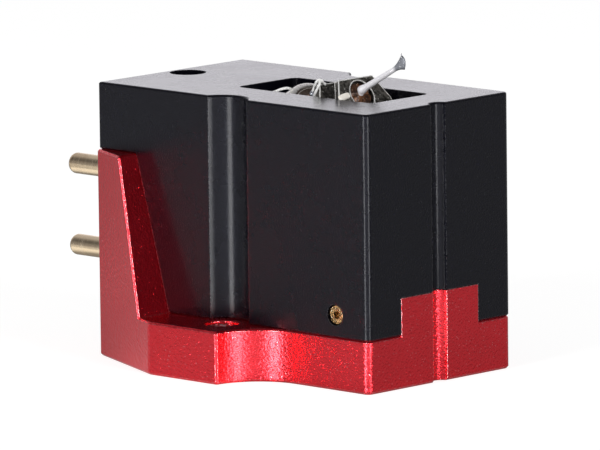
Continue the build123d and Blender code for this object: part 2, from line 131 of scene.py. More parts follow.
# what matte light, the camera and gloss find on the floor, with places in metres
paleSheet = {"reach": 3.0, "sink": -2e-5, "colour": 0.30, "glow": 0.84,
             "near": 0.12, "nearEdge": (-0.012, 0.002), "stylusEnd": 0.19, "ends": (-0.08, 0.08),
             "patch": 0.52, "patchPlace": (-0.025, -0.009, 0.0), "patchEdge": (0.005, 0.009),
             "steep": (0.22, 0.34), "satin": 0.95, "satinBeyond": 0.08,
             "satinEdge": (-0.0105, -0.0045), "satinRoughness": 0.16}
softBoxes = {
    # name: direction from the part, distance, width, height, power
    "frontBox": ((0.05, -1.0, 0.30), 0.45, 0.13, 0.30, 1.50),
    "rightBox": ((1.0, -0.14, 0.30), 0.45, 0.13, 0.30, 1.40),
}
boxAim = (0.0, 0.0, 7.0)  # in millimetres


def makeSurround():
    scene = bpy.context.scene
    scene.view_settings.view_transform = "Standard"
    scene.world = bpy.data.worlds.new("surround")
    scene.world.use_nodes = True
    tree = scene.world.node_tree
    glow = tree.nodes["Background"].inputs
    path = tree.nodes.new("ShaderNodeLightPath").outputs
    # the paper behind is a touch violet in reflections
    put(tree, glow["Color"], blendColour(tree, path["Is Glossy Ray"], (1, 1, 1, 1), surround["violet"]))
    way = tree.nodes.new("ShaderNodeTexCoord").outputs["Generated"]
    x, y, z = addNode(tree, "ShaderNodeSeparateXYZ", Vector=way).outputs
    # gloss sees a pale horizon under a dim ceiling, the camera and glass see white, the rest is even fill
    depth = calc(tree, "MULTIPLY", calc(tree, "SUBTRACT", y, x), diagonal)
    width = calc(tree, "MULTIPLY", calc(tree, "ADD", y, x), diagonal)
    ways = {"behind": depth, "farRight": width, "viewer": calc(tree, "MULTIPLY", depth, -1.0),
            "rearLeft": calc(tree, "MULTIPLY", width, -1.0)}
    rim = 0.0
    for key, value in ways.items():
        faced = calc(tree, "POWER", calc(tree, "MAXIMUM", value, 0.0), surround["falloff"])
        rim = calc(tree, "MULTIPLY_ADD", faced, horizon[key], rim)
    low = spread(tree, z, *surround["horizonTop"], 1.0, 0.0)
    ceiling = spread(tree, depth, *surround["behindFrom"], surround["ceiling"], surround["ceilingBehind"])
    mirrored = calc(tree, "MULTIPLY_ADD", calc(tree, "SUBTRACT", rim, ceiling), low, ceiling)
    fill = blend(tree, "FLOAT", path["Is Glossy Ray"], surround["ambient"], mirrored)
    direct = calc(tree, "MAXIMUM", path["Is Camera Ray"], path["Is Transmission Ray"])
    put(tree, glow["Strength"], blend(tree, "FLOAT", direct, fill, 1.0))


def makeFloor():
    reach, sink = paleSheet["reach"], paleSheet["sink"]
    corners = [(-reach, -reach, sink), (reach, -reach, sink), (reach, reach, sink), (-reach, reach, sink)]
    mesh = bpy.data.meshes.new("floor")
    mesh.from_pydata(corners, [], [(0, 1, 2, 3)])
    floor = bpy.data.objects.new("floor", mesh)
    bpy.context.scene.collection.objects.link(floor)
    paper = bpy.data.materials.new("paleFloor")
    paper.use_nodes = True
    tree = paper.node_tree
    tree.nodes.remove(tree.nodes["Principled BSDF"])
    path = tree.nodes.new("ShaderNodeLightPath").outputs
    place = tree.nodes.new("ShaderNodeTexCoord").outputs["Object"]
    x, y = addNode(tree, "ShaderNodeSeparateXYZ", Vector=place).outputs[:2]
    # gloss sees a glow on the sheet: some on the near side at the pins' end, more at the stylus end
    near = spread(tree, y, *paleSheet["nearEdge"], paleSheet["near"], 0.0)
    pinsEnd = spread(tree, x, *paleSheet["ends"], 1.0, 0.0)
    stylusEnd = spread(tree, x, *paleSheet["ends"], 0.0, paleSheet["stylusEnd"])
    seen = calc(tree, "MULTIPLY_ADD", near, pinsEnd, stylusEnd)
    # the patch under the pins shows to steep rays only, so the upright cheek beside them doesn't mirror it
    off = addNode(tree, "ShaderNodeVectorMath", Vector=place)
    off.operation = "DISTANCE"
    off.inputs[1].default_value = paleSheet["patchPlace"]
    patch = spread(tree, off.outputs["Value"], *paleSheet["patchEdge"], paleSheet["patch"], 0.0)
    coming = tree.nodes.new("ShaderNodeNewGeometry").outputs["Incoming"]
    rise = addNode(tree, "ShaderNodeSeparateXYZ", Vector=coming).outputs["Z"]
    seen = calc(tree, "MULTIPLY_ADD", patch, spread(tree, rise, *paleSheet["steep"], 0.0, 1.0), seen)
    mirrored = calc(tree, "MULTIPLY", path["Is Glossy Ray"], seen)
    # pale matte, with a further glow that only the camera sees, so the shadow stays
    strength = calc(tree, "MULTIPLY_ADD", path["Is Camera Ray"], paleSheet["glow"], mirrored)
    matte = addNode(tree, "ShaderNodeBsdfDiffuse", Color=(paleSheet["colour"],) * 3 + (1,))
    shine = addNode(tree, "ShaderNodeEmission", Color=(1, 1, 1, 1), Strength=strength)
    # satin to gloss on the near side, so upright walls find the soft boxes in it all the way down
    polish = spread(tree, y, *paleSheet["satinEdge"], paleSheet["satin"], paleSheet["satinBeyond"])
    satin = addNode(tree, "ShaderNodeBsdfGlossy", Roughness=paleSheet["satinRoughness"],
                    Color=calc(tree, "MULTIPLY", path["Is Glossy Ray"], polish))
    both = matte
    for layer in (shine, satin):
        added = tree.nodes.new("ShaderNodeAddShader")
        tree.links.new(both.outputs[0], added.inputs[0])
        tree.links.new(layer.outputs[0], added.inputs[1])
        both = added
    tree.links.new(both.outputs[0], tree.nodes["Material Output"].inputs["Surface"])
    mesh.materials.append(paper)


def lightBoxes():
    # the boxes reach the polished cover only by way of the floor, or its top would mirror them whole
    shaded = bpy.data.collections.new("shaded")
    shaded.objects.link(nodes["body_cover"])
    shaded.collection_objects[0].light_linking.link_state = "EXCLUDE"
    for name, (toward, away, wide, tall, power) in softBoxes.items():
        lamp = bpy.data.lights.new(name, "AREA")
        lamp.shape = "RECTANGLE"
        lamp.size, lamp.size_y, lamp.energy = wide, tall, power
        box = bpy.data.objects.new(name, lamp)
        bpy.context.scene.collection.objects.link(box)
        direction = Vector(toward).normalized()
        box.location = Vector(boxAim) * mm + direction * away
        box.rotation_euler = direction.to_track_quat("Z", "Y").to_euler()
        box.visible_camera = False
        box.light_linking.receiver_collection = shaded


makeSurround()
makeFloor()
lightBoxes()
print("stage set")


def newGroup(name, inputs, outputs):
    group = bpy.data.node_groups.new(name, "ShaderNodeTree")
    for label, value in inputs.items():
        socket = group.interface.new_socket(label, in_out="INPUT", socket_type="NodeSocketFloat")
        socket.default_value = value
    for label in outputs:
        group.interface.new_socket(label, in_out="OUTPUT", socket_type="NodeSocketFloat")
    given, out = group.nodes.new("NodeGroupInput"), group.nodes.new("NodeGroupOutput")
    place = group.nodes.new("ShaderNodeTexCoord").outputs["Object"]
    return group, given.outputs, out.inputs, place


def makeBlastGrain():
    # blasted metal: worm-like pits from two noises, a few round Voronoi cells where glints are painted (dust
    # on the black cover), and a broad cloud
    group, given, out, place = newGroup("blastGrain", {"Grain": 7000.0, "Glints": 12000.0, "Share": 0.975},
                                        ("Height", "PaintedGlintAndDust", "Tone"))
    pits = noise(group, place, given["Grain"], 2.0, 0.45)
    fine = noise(group, place, calc(group, "MULTIPLY", given["Grain"], 2.3), 1.0)
    put(group, out["Height"], calc(group, "MULTIPLY_ADD", fine, 0.35, pits))
    cells = addNode(group, "ShaderNodeTexVoronoi", Vector=place, Scale=given["Glints"])
    drawn = addNode(group, "ShaderNodeSeparateColor", Color=cells.outputs["Color"]).outputs["Red"]
    chosen = calc(group, "GREATER_THAN", drawn, given["Share"])
    dot = spread(group, cells.outputs["Distance"], 0.12, 0.42, 1.0, 0.0)
    put(group, out["PaintedGlintAndDust"], calc(group, "MULTIPLY", chosen, dot))
    put(group, out["Tone"], noise(group, place, 420.0, 3.0, 0.6))
    return group


def makeHandling():
    # handling: broad smudges and fine dust
    group, given, out, place = newGroup("handling", {"Dust": 14000.0}, ("Smudge", "Dust"))
    put(group, out["Smudge"], noise(group, place, 300.0, 4.0, 0.65))
    cells = addNode(group, "ShaderNodeTexVoronoi", Vector=place, Scale=given["Dust"])
    drawn = addNode(group, "ShaderNodeSeparateColor", Color=cells.outputs["Color"]).outputs["Green"]
    put(group, out["Dust"], calc(group, "GREATER_THAN", drawn, 0.985))
    return group


blastGrain = makeBlastGrain()
handling = makeHandling()


class Finish:
    # one material: its tree, its Principled shader, and short ways to feed it
    def __init__(self, name, **values):
        self.material = bpy.data.materials.new(name)
        self.material.use_nodes = True
        self.tree = self.material.node_tree
        self.shader = self.tree.nodes["Principled BSDF"]
        self.place = self.tree.nodes.new("ShaderNodeTexCoord").outputs["Object"]
        for key, value in values.items():
            self.shader.inputs[key.replace("_", " ")].default_value = value

    def use(self, group, **values):
        node = self.tree.nodes.new("ShaderNodeGroup")
        node.node_tree = group
        for key, value in values.items():
            node.inputs[key].default_value = value
        return node.outputs

    def feed(self, **sockets):
        for key, socket in sockets.items():
            self.tree.links.new(socket, self.shader.inputs[key.replace("_", " ")])

    def softened(self, radius):
        # the surface's normal with its edges rounded off
        node = addNode(self.tree, "ShaderNodeBevel", Radius=radius)
        node.samples = 6
        return node.outputs["Normal"]

    def rough(self, value, low, high):
        # roughness between two values, as a noise runs through its middle range
        self.feed(Roughness=spread(self.tree, value, 0.3, 0.7, low, high))

    def relief(self, height, distance, edge=0.0):
        # bump, on edges softened by a small radius where one is given
        bump = addNode(self.tree, "ShaderNodeBump", Height=height, Distance=distance, Strength=1.0)
        if edge:
            self.tree.links.new(self.softened(edge), bump.inputs["Normal"])
        self.feed(Normal=bump.outputs["Normal"])

    def wornAndPaintedEdge(self, radius, low=0.02, high=0.10):
        # edges where light or shade is painted: where a softened normal leans away from the true one
        lean = self.tree.nodes.new("ShaderNodeVectorMath")
        lean.operation = "DOT_PRODUCT"
        put(self.tree, lean.inputs[0], self.softened(radius))
        put(self.tree, lean.inputs[1], self.tree.nodes.new("ShaderNodeNewGeometry").outputs["Normal"])
        away = calc(self.tree, "SUBTRACT", 1.0, lean.outputs["Value"])
        return spread(self.tree, away, low, high, 0.0, 1.0)


def redAnodised():
    look = {"deep": (0.79, 0.004, 0.016, 1), "bright": (0.92, 0.008, 0.026, 1),
            "paintedGlint": (1.0, 0.45, 0.50, 1), "edgeHighlight": (1.0, 0.62, 0.66, 1)}
    f = Finish("redAnodised", Metallic=0.88, IOR=3.0, Coat_Weight=0.3, Coat_Roughness=0.2, Coat_IOR=1.5)
    grain = f.use(blastGrain)
    tone = blendColour(f.tree, grain["Tone"], look["deep"], look["bright"])
    # painted glints: a few cells take a pale pink
    tone = blendColour(f.tree, grain["PaintedGlintAndDust"], tone, look["paintedGlint"])
    # painted highlight: a paler pink on the crests along the edges
    paintedEdgeHighlight = calc(f.tree, "MULTIPLY", f.wornAndPaintedEdge(6e-5), spread(f.tree, grain["Height"], 0.60, 0.72, 0.0, 1.0))
    f.feed(Base_Color=blendColour(f.tree, paintedEdgeHighlight, tone, look["edgeHighlight"]))
    f.rough(grain["Tone"], 0.09, 0.13)
    f.relief(grain["Height"], 4.0e-5, edge=9e-5)
    return f.material


def blackCover():
    look = {"deep": (0.0014, 0.0013, 0.0080, 1), "wornAndPaintedEdge": (0.0032, 0.0030, 0.0110, 1),
            "dust": (0.10, 0.10, 0.11, 1), "edgeHighlight": (0.50, 0.50, 0.53, 1)}
    f = Finish("blackCover", IOR=1.24, Specular_Tint=(0.80, 0.84, 1.0, 1.0),
               Coat_Weight=1.0, Coat_Roughness=0.20, Coat_IOR=1.25)
    grain = f.use(blastGrain, Grain=11000.0, Share=0.993)
    touch = f.use(handling)
    tone = blendColour(f.tree, touch["Smudge"], look["deep"], look["wornAndPaintedEdge"])
    # real dust flecks on a few cells, then a painted highlight in pale grey on the crests along the edges
    tone = blendColour(f.tree, grain["PaintedGlintAndDust"], tone, look["dust"])
    paintedEdgeHighlight = calc(f.tree, "MULTIPLY", f.wornAndPaintedEdge(6e-5), spread(f.tree, grain["Height"], 0.60, 0.76, 0.0, 0.7))
    f.feed(Base_Color=blendColour(f.tree, paintedEdgeHighlight, tone, look["edgeHighlight"]))
    f.rough(touch["Smudge"], 0.24, 0.31)
    f.relief(grain["Height"], 3.6e-5, edge=1.6e-4)
    return f.material


def turnedMetal(name, look, axis):
    # lathe marks: noise drawn out round the turning axis, so that it varies only along it
    f = Finish(name, Metallic=1.0)
    along = stretched(f.tree, f.place, tuple(1.0 if k == axis else 0.02 for k in "xyz"))
    rings = noise(f.tree, along, look["rings"], 4.0, 0.7)
    touch = f.use(handling)
    grain = f.use(blastGrain, Grain=look["grain"], Glints=look["grain"] * 1.3, Share=look["share"])
    tone = blendColour(f.tree, rings, look["deep"], look["bright"])
    tone = blendColour(f.tree, spread(f.tree, touch["Smudge"], 0.52, 0.72, 0.0, 0.6), tone, look["stain"])
    # a few cells take the glint colour as painted glints
    f.feed(Base_Color=blendColour(f.tree, grain["PaintedGlintAndDust"], tone, look["paintedGlint"]))
    f.rough(rings, *look["gloss"])
    height = calc(f.tree, "MULTIPLY_ADD", grain["Height"], look["speckle"], rings)
    f.relief(height, look["depth"], look["edge"])
    return f.material


def dullIron(name, look):
    # sintered or rolled iron: mottled tone, painted glints on coarse pits, and painted highlights on the
    # softened edges
    f = Finish(name, Metallic=0.85)
    grain = f.use(blastGrain, Grain=look["grain"], Glints=look["grain"] * 1.1, Share=look["share"])
    blots = noise(f.tree, f.place, look["grain"] * 0.45, 3.0, 0.7)
    tone = blendColour(f.tree, spread(f.tree, blots, 0.35, 0.65, 0.0, 1.0), look["deep"], look["bright"])
    tone = blendColour(f.tree, grain["PaintedGlintAndDust"], tone, look["paintedGlint"])
    # painted highlight: the edges turn pale and less metallic, so they show bright under any light
    if look["edge"]:
        paintedEdgeHighlight = f.wornAndPaintedEdge(look["edge"], 0.012, 0.06)
        tone = blendColour(f.tree, paintedEdgeHighlight, tone, look["edgeHighlight"])
        f.feed(Metallic=spread(f.tree, paintedEdgeHighlight, 0.0, 1.0, 0.85, 0.2))
    f.feed(Base_Color=tone)
    f.rough(blots, *look["gloss"])
    f.relief(grain["Height"], look["depth"], look["edge"] * 0.4)
    return f.material


def mouldedPlastic(name, look):
    # moulded or cast resin: clouded tone, dust, slight orange peel
    f = Finish(name, IOR=1.48)
    touch = f.use(handling, Dust=look["dust"])
    cloud = noise(f.tree, f.place, look["cloud"], 4.0, 0.6)
    tone = blendColour(f.tree, cloud, look["deep"], look["bright"])
    dusty = calc(f.tree, "MULTIPLY", touch["Dust"], 0.5)
    f.feed(Base_Color=blendColour(f.tree, dusty, tone, look["speck"]))
    f.rough(touch["Smudge"], *look["gloss"])
    f.relief(noise(f.tree, f.place, look["peel"], 2.0), look["depth"], look["edge"])
    return f.material


def copperWinding():
    # varnished copper: blotched varnish with painted glints over a fine grain
    look = {"deep": (0.030, 0.012, 0.006, 1), "bright": (0.17, 0.066, 0.023, 1),
            "paintedGlint": (0.80, 0.58, 0.42, 1)}
    f = Finish("copperWinding", Metallic=0.55, Coat_Weight=0.6, Coat_Roughness=0.18)
    grain = f.use(blastGrain, Grain=14000.0, Glints=15000.0, Share=0.93)
    varnish = noise(f.tree, f.place, 4200.0, 3.0, 0.7)
    tone = blendColour(f.tree, spread(f.tree, varnish, 0.36, 0.64, 0.0, 1.0), look["deep"], look["bright"])
    f.feed(Base_Color=blendColour(f.tree, grain["PaintedGlintAndDust"], tone, look["paintedGlint"]))
    f.rough(varnish, 0.28, 0.5)
    f.relief(grain["Height"], 1.2e-5)
    return f.material


def brightAluminium():
    # white satin tube that turns to grey pressed metal towards the tip, with drawn lines along the arm,
    # painted glints on the pressed end and painted shade along its edges
    look = {"tube": (0.95, 0.94, 0.98, 1), "blade": (0.24, 0.25, 0.28, 1), "rim": (0.02, 0.02, 0.03, 1),
            "paintedGlint": (0.95, 0.95, 0.97, 1), "turn": 2.84, "turned": 3.16}
    f = Finish("brightAluminium", Metallic=0.25)
    parts = addNode(f.tree, "ShaderNodeSeparateXYZ", Vector=f.place).outputs
    alongX = calc(f.tree, "MULTIPLY", parts["X"], float(armAxis[0]))
    along = calc(f.tree, "MULTIPLY_ADD", parts["Z"], float(armAxis[2]), alongX)
    start = float(armRoot @ armAxis)
    pressed = spread(f.tree, along, (start + look["turn"]) * mm, (start + look["turned"]) * mm, 0.0, 1.0)
    drawn = stretched(f.tree, f.place, (0.08, 1.0, 1.0), (0.0, math.radians(arm["tilt"]), 0.0))
    lines = noise(f.tree, drawn, 16000.0, 3.0, 0.6)
    grain = f.use(blastGrain, Grain=15000.0, Glints=12000.0, Share=0.9)
    tone = blendColour(f.tree, pressed, look["tube"], look["blade"])
    # painted glints on the pressed end
    shine = calc(f.tree, "MULTIPLY", pressed, grain["PaintedGlintAndDust"])
    tone = blendColour(f.tree, shine, tone, look["paintedGlint"])
    # painted shade: the pressed end's edges go almost black
    paintedEdgeShade = calc(f.tree, "MULTIPLY", pressed, f.wornAndPaintedEdge(1e-4, 0.004, 0.05))
    f.feed(Base_Color=blendColour(f.tree, paintedEdgeShade, tone, look["rim"]))
    f.rough(lines, 0.30, 0.46)
    f.relief(lines, 4.0e-6)
    return f.material


def cutDiamond():
    look = {"clear": (0.30, 0.31, 0.35, 1), "grey": (0.015, 0.015, 0.02, 1)}
    f = Finish("cutDiamond", IOR=2.4, Transmission_Weight=0.1)
    facets = noise(f.tree, f.place, 9000.0, 2.0)
    f.feed(Base_Color=blendColour(f.tree, facets, look["grey"], look["clear"]))
    f.rough(facets, 0.04, 0.14)
    f.relief(facets, 2.0e-6)
    return f.material


def wovenSleeve():
    # white sleeving: fine uneven bands, soiled on their crests
    look = {"clean": (0.80, 0.80, 0.79, 1), "soiled": (0.46, 0.45, 0.43, 1)}
    f = Finish("wovenSleeve", Sheen_Weight=0.2)
    wave = addNode(f.tree, "ShaderNodeTexWave", Vector=f.place, Scale=3600.0, Distortion=2.0, Detail=1.0)
    weave = wave.outputs["Fac"]
    soil = noise(f.tree, f.place, 2500.0, 3.0, 0.6)
    crests = calc(f.tree, "MULTIPLY", weave, soil)
    f.feed(Base_Color=blendColour(f.tree, crests, look["clean"], look["soiled"]))
    f.rough(soil, 0.45, 0.65)
    f.relief(weave, 6.0e-6)
    return f.material


# the arm's frame, as in the solids: along the arm, up off it, and across the body
arm = {"root": (4.73, 0.0, 15.41), "tilt": 31.0}
armRoot = np.array(arm["root"])
armAxis = np.array([math.cos(math.radians(arm["tilt"])), 0.0, math.sin(math.radians(arm["tilt"]))])
armUp = np.array([-armAxis[2], 0.0, armAxis[0]])
armAcross = np.array([0.0, 1.0, 0.0])

# the glint colours below are painted glints, and the pale edge colours of iron and magnet are painted
# highlights
goldLook = {"rings": 5200.0, "grain": 9000.0, "share": 0.99, "speckle": 0.15,
            "deep": (0.86, 0.66, 0.42, 1), "bright": (1.0, 0.84, 0.60, 1),
            "stain": (0.60, 0.42, 0.24, 1), "paintedGlint": (1.0, 0.85, 0.6, 1), "gloss": (0.17, 0.30),
            "depth": 2.5e-6, "edge": 0.0}
brassLook = {"rings": 9000.0, "grain": 11000.0, "share": 0.70, "speckle": 1.0,
             "deep": (0.16, 0.085, 0.03, 1), "bright": (0.72, 0.46, 0.20, 1),
             "stain": (0.10, 0.055, 0.02, 1), "paintedGlint": (1.0, 0.90, 0.72, 1), "gloss": (0.14, 0.30),
             "depth": 4.5e-5, "edge": 3e-5}
steelLook = {"rings": 12000.0, "grain": 12000.0, "share": 0.97, "speckle": 0.5,
             "deep": (0.06, 0.06, 0.065, 1), "bright": (0.20, 0.20, 0.21, 1),
             "stain": (0.03, 0.03, 0.03, 1), "paintedGlint": (0.5, 0.5, 0.52, 1), "gloss": (0.28, 0.45),
             "depth": 6e-6, "edge": 3e-5}
ironLook = {"grain": 8000.0, "share": 0.86, "deep": (0.024, 0.022, 0.018, 1),
            "bright": (0.17, 0.16, 0.14, 1), "paintedGlint": (0.85, 0.83, 0.77, 1),
            "edgeHighlight": (1.0, 0.99, 0.96, 1), "gloss": (0.28, 0.42), "depth": 3.6e-5, "edge": 1.3e-4}
coreLook = dict(ironLook, deep=(0.05, 0.035, 0.025, 1), bright=(0.13, 0.10, 0.08, 1))
magnetLook = {"grain": 8000.0, "share": 0.88, "deep": (0.075, 0.052, 0.040, 1),
              "bright": (0.18, 0.135, 0.11, 1), "paintedGlint": (0.60, 0.50, 0.44, 1),
              "edgeHighlight": (0.95, 0.92, 0.88, 1), "gloss": (0.36, 0.55), "depth": 2.4e-5, "edge": 5e-5}
bushLook = {"dust": 9000.0, "cloud": 2200.0, "peel": 6000.0, "deep": (0.52, 0.50, 0.44, 1),
            "bright": (0.72, 0.70, 0.64, 1), "speck": (0.30, 0.27, 0.22, 1), "gloss": (0.40, 0.55),
            "depth": 3e-6, "edge": 3e-5}
carrierLook = {"dust": 12000.0, "cloud": 1500.0, "peel": 9000.0, "deep": (0.010, 0.010, 0.011, 1),
               "bright": (0.022, 0.022, 0.024, 1), "speck": (0.08, 0.08, 0.08, 1),
               "gloss": (0.42, 0.58), "depth": 4e-6, "edge": 4e-5}
rubberLook = {"dust": 15000.0, "cloud": 5000.0, "peel": 14000.0, "deep": (0.012, 0.011, 0.010, 1),
              "bright": (0.030, 0.027, 0.024, 1), "speck": (0.10, 0.10, 0.09, 1), "gloss": (0.55, 0.75),
              "depth": 4e-6, "edge": 2e-5}
boardLook = {"dust": 12000.0, "cloud": 5200.0, "peel": 12000.0, "deep": (0.17, 0.090, 0.035, 1),
             "bright": (0.34, 0.20, 0.085, 1), "speck": (0.60, 0.45, 0.28, 1), "gloss": (0.38, 0.55),
             "depth": 4e-6, "edge": 3e-5}
resinLook = {"dust": 9000.0, "cloud": 3000.0, "peel": 5200.0, "deep": (0.62, 0.57, 0.50, 1),
             "bright": (0.88, 0.85, 0.79, 1), "speck": (0.45, 0.38, 0.28, 1), "gloss": (0.26, 0.42),
             "depth": 6e-6, "edge": 0.0}
solderLook = {"grain": 9000.0, "share": 0.92, "deep": (0.26, 0.27, 0.30, 1),
              "bright": (0.52, 0.54, 0.58, 1), "paintedGlint": (0.9, 0.9, 0.92, 1), "gloss": (0.18, 0.34),
              "depth": 8e-6, "edge": 0.0}
platedLook = {"grain": 9000.0, "share": 0.97, "deep": (0.80, 0.77, 0.73, 1),
              "bright": (0.95, 0.93, 0.90, 1), "paintedGlint": (1.0, 0.98, 0.95, 1), "gloss": (0.24, 0.38),
              "depth": 8e-6, "edge": 0.0}

red, copper, aluminium, sleeve = redAnodised(), copperWinding(), brightAluminium(), wovenSleeve()
gold = turnedMetal("goldPlate", goldLook, "x")
brass = turnedMetal("brassScrew", brassLook, "y")
steel = turnedMetal("screwSteel", steelLook, "z")
iron = dullIron("softIron", ironLook)
solder = dullIron("solder", solderLook)
plated = dullIron("platedRim", platedLook)
resin = mouldedPlastic("castResin", resinLook)
finishes = {
    "mount_base": red, "body_cover": blackCover(), "cover_side_screws": brass, "cover_rear_screw": steel,
    "pin_bushes": mouldedPlastic("insulator", bushLook), "carrier_screws": steel,
    "generator_carrier": mouldedPlastic("carrierPlastic", carrierLook), "yoke_frame": iron,
    "rear_pole": iron, "ring_magnet": dullIron("magnet", magnetLook), "wire_sleeve": brass,
    "sleeve_nut": brass, "suspension_wire": steel, "damper": mouldedPlastic("damperRubber", rubberLook),
    "armature_core": dullIron("coreIron", coreLook), "coil_left": copper, "coil_right": copper,
    "cantilever": aluminium, "stylus": cutDiamond(),
    "solder_strip": mouldedPlastic("stripBoard", boardLook),
}
for channel in ("left_signal", "left_ground", "right_signal", "right_ground"):
    finishes["pin_" + channel] = gold
    finishes["lead_" + channel] = sleeve
for name, node in nodes.items():
    node.data.materials.clear()
    node.data.materials.append(finishes[name])
print("finishes set")


def fullTurn(count):
    # angles of one turn, as a row
    return np.linspace(0, 2 * np.pi, count, endpoint=False)[None, :]


def smooth(value):
    # smooth step, held within 0 and 1
    value = np.clip(value, 0, 1)
    return value * value * (3 - 2 * value)


def armPoints(along, up, across):
    along, up, across = np.broadcast_arrays(along, up, across)
    # millimetres along the arm, up off it and across the body
    return armRoot + along[..., None] * armAxis + up[..., None] * armUp + across[..., None] * armAcross


def capped(grid):
    # one more row at each end, drawn together to the middle of the end row
    middle = np.repeat(grid[[0, -1]].mean(1, keepdims=True), grid.shape[1], 1)
    return np.concatenate((middle[:1], grid, middle[1:]))


def addPiece(name, grids, body, look, replaced=()):
    # grid[i, j] runs along with i and closes round with j; quads join neighbours, doubled points are merged
    points, faces, count = [], [], 0
    for grid in grids:
        rows, around = grid.shape[:2]
        i, j = np.meshgrid(np.arange(rows - 1), np.arange(around), indexing="ij")
        k = (j + 1) % around
        quads = np.stack((i * around + j, i * around + k, (i + 1) * around + k, (i + 1) * around + j), -1)
        faces.append(quads.reshape(-1, 4) + count)
        points.append(grid.reshape(-1, 3))
        count += rows * around
    mesh = bpy.data.meshes.new(name)
    mesh.from_pydata((np.concatenate(points) * mm).tolist(), [], np.concatenate(faces).tolist())
    shell = bmesh.new()
    shell.from_mesh(mesh)
    bmesh.ops.remove_doubles(shell, verts=shell.verts, dist=1e-7)
    bmesh.ops.recalc_face_normals(shell, faces=shell.faces)
    shell.to_mesh(mesh)
    shell.free()
    mesh.shade_smooth()
    mesh.materials.append(look)
    piece = bpy.data.objects.new(name, mesh)
    bpy.context.scene.collection.objects.link(piece)
    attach(piece, body)
    if replaced:
        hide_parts(*replaced)


# stylus arm: a round tube with a swollen root, pressed at its end to a thin fan
# step: where the spigot widens and over what length; level: where the centre line meets the axis;
# fanEdge and fanTop: the end edge across its height
tube = {"back": -0.45, "spigot": 0.185, "step": (-0.12, 0.16), "rootR": 0.190, "tipR": 0.140,
        "bulb": 0.055, "bulbAt": 0.10, "bulbL": 0.28, "rootL": 0.6, "end": 2.80, "lift": 0.14, "level": 3.4,
        "fanMid": (3.22, 0.015, 0.12), "fanEdge": (3.90, 0.10, -0.21), "fanTop": (0.075, 0.41),
        "fanThick": 0.075, "around": 40}


def armTube():
    # tube: circle of radius r(a), a straight taper plus a bell curve at the root, on a centre line
    # that drops to the axis
    # fan: curve of the second degree from the tube's last circle through a waist to the end edge,
    # thinning to nothing there
    phi = fullTurn(tube["around"])
    stepAt, stepL = tube["step"]
    a = np.concatenate((np.linspace(tube["back"], stepAt - 0.02, 4), np.linspace(stepAt, tube["rootL"], 28),
                        np.linspace(tube["rootL"] + 0.06, tube["end"], 18)))[:, None]
    share = smooth((a - stepAt) / stepL)
    taper = tube["rootR"] + (tube["tipR"] - tube["rootR"]) * a / tube["end"]
    radius = taper + tube["bulb"] * np.exp(-((a - tube["bulbAt"]) / tube["bulbL"]) ** 2)
    radius = tube["spigot"] + (radius - tube["spigot"]) * share
    middle = tube["lift"] * (1 - a / tube["level"]) * share
    pipe = armPoints(a, middle + radius * np.cos(phi), radius * np.sin(phi))
    u = np.linspace(0, 1, 30)[1:, None]
    v = np.cos(phi)
    waistA, waistT, waistH = tube["fanMid"]
    edgeA, edgeLean, edgeBow = tube["fanEdge"]
    topT, topH = tube["fanTop"]
    first, second, last = (1 - u) ** 2, 2 * u * (1 - u), u * u
    along = first * tube["end"] + second * waistA + last * (edgeA + edgeLean * v + edgeBow * v * v)
    up = first * (middle[-1] + v * tube["tipR"]) + second * (waistT + v * waistH) + last * (topT + topH * v)
    thin = tube["tipR"] * first + tube["fanThick"] * (1 - first)
    fan = armPoints(along, up, thin * np.sqrt(np.clip(1 - u ** 8, 0, 1)) * np.sin(phi))
    root = np.repeat(pipe[:1].mean(1, keepdims=True), tube["around"], 1)
    grid = np.concatenate((root, pipe, fan))
    addPiece("armTube", [grid], "stylus_arm", aluminium, ("cantilever",))


# armature winding: a low disc of four wound sectors behind the yoke's opening
# sunkFrom: radius where the grooves start and over what length; backEdge: the back's inset, corner and lift
winding = {"outer": 0.74, "inner": 0.13, "front": -0.07, "back": -0.68, "drop": 0.06, "edge": 0.10,
           "turn": 0.052, "ridge": 0.012, "gap": 0.07, "gapWidth": 0.16, "rimCut": 0.03,
           "sunkFrom": (0.2, 0.2), "backEdge": (0.02, 0.1, 0.08), "around": 160}


def armatureWinding():
    # disc turned about the arm: the face carries rings one turn apart, sunk along four grooves,
    # and the rim is round
    phi = fullTurn(winding["around"])
    outer, inner, front, back = (winding[k] for k in ("outer", "inner", "front", "back"))
    groove = np.exp(-(np.sin(2 * phi) / (2 * winding["gapWidth"])) ** 2)
    cut = winding["rimCut"] * groove
    face = np.linspace(inner, outer - winding["edge"], 60)[:, None]
    ringed = winding["ridge"] * np.cos(2 * np.pi * face / winding["turn"])
    sunkAt, sunkL = winding["sunkFrom"]
    sunk = winding["gap"] * groove * np.clip((face - sunkAt) / sunkL, 0, 1)
    bend = np.linspace(0, np.pi / 2, 8)[1:, None]
    rimR = outer - winding["edge"] * (1 - np.sin(bend)) - cut
    rimA = front - winding["edge"] * (1 - np.cos(bend)) - winding["gap"] * groove
    inset, corner, lift = winding["backEdge"]
    backR = np.concatenate((outer - inset - cut, outer - corner - cut, inner + 0 * phi))
    backA = np.array([[back + lift], [back], [back]]) + 0 * phi
    radius = np.concatenate((face + 0 * phi, rimR, backR))
    along = np.concatenate((front + ringed - sunk, rimA, backA))
    shift = winding["drop"] * np.clip(radius / outer, 0, 1)
    grid = armPoints(along, radius * np.sin(phi) - shift, radius * np.cos(phi))
    grid = np.concatenate((grid, grid[:1]))
    addPiece("armatureWinding", [grid], "stylus_arm", copper, ("coil_left", "coil_right"))


